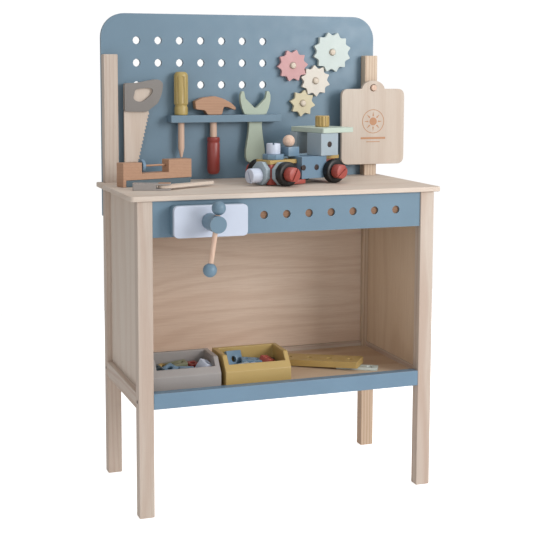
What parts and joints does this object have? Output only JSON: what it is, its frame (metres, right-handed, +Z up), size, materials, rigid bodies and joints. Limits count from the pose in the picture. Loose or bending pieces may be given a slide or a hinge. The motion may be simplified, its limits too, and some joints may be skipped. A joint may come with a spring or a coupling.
{
  "type": "toy workbench",
  "caption": "Wooden toy workbench with a shelf, a pegboard back, a vise, hanging tools, meshing toothed wheels, a swinging sign and loose building pieces.",
  "frame": {"origin": "centre of the bounding box at floor height, under the legs", "axes": "+X to the right as a child stands at the bench, +Y towards the pegboard, +Z up"},
  "size_m": [0.6252, 0.3628, 0.88],
  "materials": {
    "pale_ply": "clear matte lacquer on pale plywood and pine",
    "beech": "satin beech",
    "dowel_wood": "satin turned wood",
    "dusty_blue": "matte paint",
    "stained_blue": "blue stain with the grain showing",
    "light_blue": "matte paint",
    "deep_teal": "matte paint",
    "white": "matte paint",
    "pink": "matte paint",
    "mint": "matte paint",
    "cream": "matte paint",
    "straw": "matte paint",
    "sage": "matte paint",
    "mustard": "matte paint",
    "taupe": "matte paint",
    "brick": "satin paint",
    "coral": "satin paint",
    "tyre_black": "matte paint"
  },
  "bodies": {
    "bench": {"front_left_leg": "pale_ply", "front_right_leg": "pale_ply", "rear_left_post": "pale_ply", "rear_right_post": "pale_ply", "left_side_rail": "pale_ply", "right_side_rail": "pale_ply", "left_side_panel": "pale_ply", "right_side_panel": "pale_ply", "rear_rail": "pale_ply", "back_panel": "pale_ply", "shelf_board": "pale_ply", "worktop": "pale_ply", "shelf_front_rail": "stained_blue", "pegboard": "dusty_blue", "front_apron": "dusty_blue", "tool_rack": "dusty_blue", "vise_fixed_jaw": "dusty_blue", "sign_peg": "dowel_wood", "cream_gear_pin": "dowel_wood", "pink_gear_pin": "dowel_wood", "mint_gear_pin": "dowel_wood", "straw_gear_pin": "dowel_wood"},
    "vise_jaw": {"vise_moving_jaw": "white"},
    "vise_screw": {"vise_hub": "dusty_blue", "vise_screw_rod": "dowel_wood"},
    "vise_handle": {"vise_handle_rod": "dowel_wood", "vise_upper_ball": "dusty_blue", "vise_lower_ball": "dusty_blue"},
    "cream_gear": {"cream_gear": "cream"},
    "pink_gear": {"pink_gear": "pink"},
    "mint_gear": {"mint_gear": "mint"},
    "straw_gear": {"straw_gear": "straw"},
    "sign": {"sign_board": "pale_ply"},
    "saw": {"saw_blade": "pale_ply", "saw_handle": "taupe"},
    "screwdriver": {"screwdriver_handle": "mustard", "screwdriver_shaft": "dowel_wood"},
    "hammer": {"hammer_head": "beech", "hammer_shaft": "dowel_wood", "hammer_grip": "brick"},
    "wrench": {"wrench": "sage"},
    "clamp": {"clamp_frame": "beech", "clamp_base": "deep_teal"},
    "clamp_slider": {"clamp_rod": "dowel_wood", "clamp_pad": "stained_blue"},
    "rule": {"rule_stock": "taupe", "rule_pin": "coral"},
    "rule_blade": {"rule_blade": "pale_ply"},
    "truck": {"truck_chassis": "coral", "truck_body_block": "stained_blue", "truck_hood_plate": "mustard", "truck_cab_block": "light_blue", "truck_roof": "mint"},
    "front_near_wheel": {"truck_front_near_wheel": "tyre_black"},
    "front_far_wheel": {"truck_front_far_wheel": "tyre_black"},
    "rear_near_wheel": {"truck_rear_near_wheel": "tyre_black"},
    "rear_far_wheel": {"truck_rear_far_wheel": "tyre_black"},
    "grey_bin": {"grey_bin": "taupe"},
    "yellow_bin": {"yellow_bin": "mustard"},
    "yellow_bar": {"yellow_bar": "mustard"}
  },
  "joints": [
    {"name": "vise_jaw_slide", "type": "slide", "parent": "bench", "child": "vise_jaw", "axis": [0, -1, 0], "range_m": [0, 0.032]},
    {"name": "vise_screw_turn", "type": "hinge", "parent": "vise_jaw", "child": "vise_screw", "pos_m": [-0.1804, -0.1314, 0.5195], "axis": [0, -1, 0], "range_deg": [0, 1440]},
    {"name": "vise_handle_slide", "type": "slide", "parent": "vise_screw", "child": "vise_handle", "axis": [0.1495, 0, 0.9888], "range_m": [0, 0.051]},
    {"name": "cream_gear_spin", "type": "hinge", "parent": "bench", "child": "cream_gear", "pos_m": [0.1286, 0.1664, 0.7529], "axis": [0, 1, 0], "continuous": true},
    {"name": "pink_gear_spin", "type": "hinge", "parent": "bench", "child": "pink_gear", "pos_m": [0.0803, 0.1664, 0.7829], "axis": [0, 1, 0], "continuous": true},
    {"name": "mint_gear_spin", "type": "hinge", "parent": "bench", "child": "mint_gear", "pos_m": [0.1641, 0.1664, 0.8095], "axis": [0, 1, 0], "continuous": true},
    {"name": "straw_gear_spin", "type": "hinge", "parent": "bench", "child": "straw_gear", "pos_m": [0.1016, 0.1664, 0.7086], "axis": [0, 1, 0], "continuous": true},
    {"name": "sign_swing", "type": "hinge", "parent": "bench", "child": "sign", "pos_m": [0.2441, 0.1431, 0.7392], "axis": [0, 1, 0], "range_deg": [-60, 60]},
    {"name": "saw_lift", "type": "slide", "parent": "bench", "child": "saw", "axis": [0, 0, 1], "range_m": [0, 0.1]},
    {"name": "screwdriver_lift", "type": "slide", "parent": "bench", "child": "screwdriver", "axis": [0, 0, 1], "range_m": [0, 0.1]},
    {"name": "hammer_lift", "type": "slide", "parent": "bench", "child": "hammer", "axis": [0, 0, 1], "range_m": [0, 0.13]},
    {"name": "wrench_lift", "type": "slide", "parent": "bench", "child": "wrench", "axis": [0, 0, 1], "range_m": [0, 0.11]},
    {"name": "clamp_lift", "type": "slide", "parent": "bench", "child": "clamp", "axis": [0, 0, 1], "range_m": [0, 0.08]},
    {"name": "clamp_slider_slide", "type": "slide", "parent": "clamp", "child": "clamp_slider", "axis": [0.9632, 0.2689, 0], "range_m": [-0.003, 0.018]},
    {"name": "rule_lift", "type": "slide", "parent": "bench", "child": "rule", "axis": [0, 0, 1], "range_m": [0, 0.08]},
    {"name": "rule_blade_turn", "type": "hinge", "parent": "rule", "child": "rule_blade", "pos_m": [-0.22889, -0.01372, 0.5693], "axis": [0, 0, 1], "range_deg": [-110, 20]},
    {"name": "truck_lift", "type": "slide", "parent": "bench", "child": "truck", "axis": [0, 0, 1], "range_m": [0, 0.08]},
    {"name": "front_near_wheel_spin", "type": "hinge", "parent": "truck", "child": "front_near_wheel", "pos_m": [0.00355, -0.02428, 0.5856], "axis": [0.3123, -0.95, 0], "continuous": true},
    {"name": "front_far_wheel_spin", "type": "hinge", "parent": "truck", "child": "front_far_wheel", "pos_m": [-0.02768, 0.07072, 0.5856], "axis": [0.3123, -0.95, 0], "continuous": true},
    {"name": "rear_near_wheel_spin", "type": "hinge", "parent": "truck", "child": "rear_near_wheel", "pos_m": [0.11185, 0.01133, 0.5856], "axis": [0.3123, -0.95, 0], "continuous": true},
    {"name": "rear_far_wheel_spin", "type": "hinge", "parent": "truck", "child": "rear_far_wheel", "pos_m": [0.08061, 0.10632, 0.5856], "axis": [0.3123, -0.95, 0], "continuous": true},
    {"name": "grey_bin_pull", "type": "slide", "parent": "bench", "child": "grey_bin", "axis": [0, -0.82, 0.5724], "range_m": [0, 0.22]},
    {"name": "yellow_bin_pull", "type": "slide", "parent": "bench", "child": "yellow_bin", "axis": [0, -0.82, 0.5724], "range_m": [0, 0.22]},
    {"name": "yellow_bar_lift", "type": "slide", "parent": "bench", "child": "yellow_bar", "axis": [0, 0, 1], "range_m": [0, 0.1]}
  ],
  "couplings": [
    {"joint": "vise_jaw_slide", "follows": "vise_screw_turn", "m_per_rad": 0.0012732},
    {"joint": "pink_gear_spin", "follows": "cream_gear_spin", "ratio": -1},
    {"joint": "mint_gear_spin", "follows": "cream_gear_spin", "ratio": -0.83333},
    {"joint": "straw_gear_spin", "follows": "cream_gear_spin", "ratio": -1.25}
  ]
}
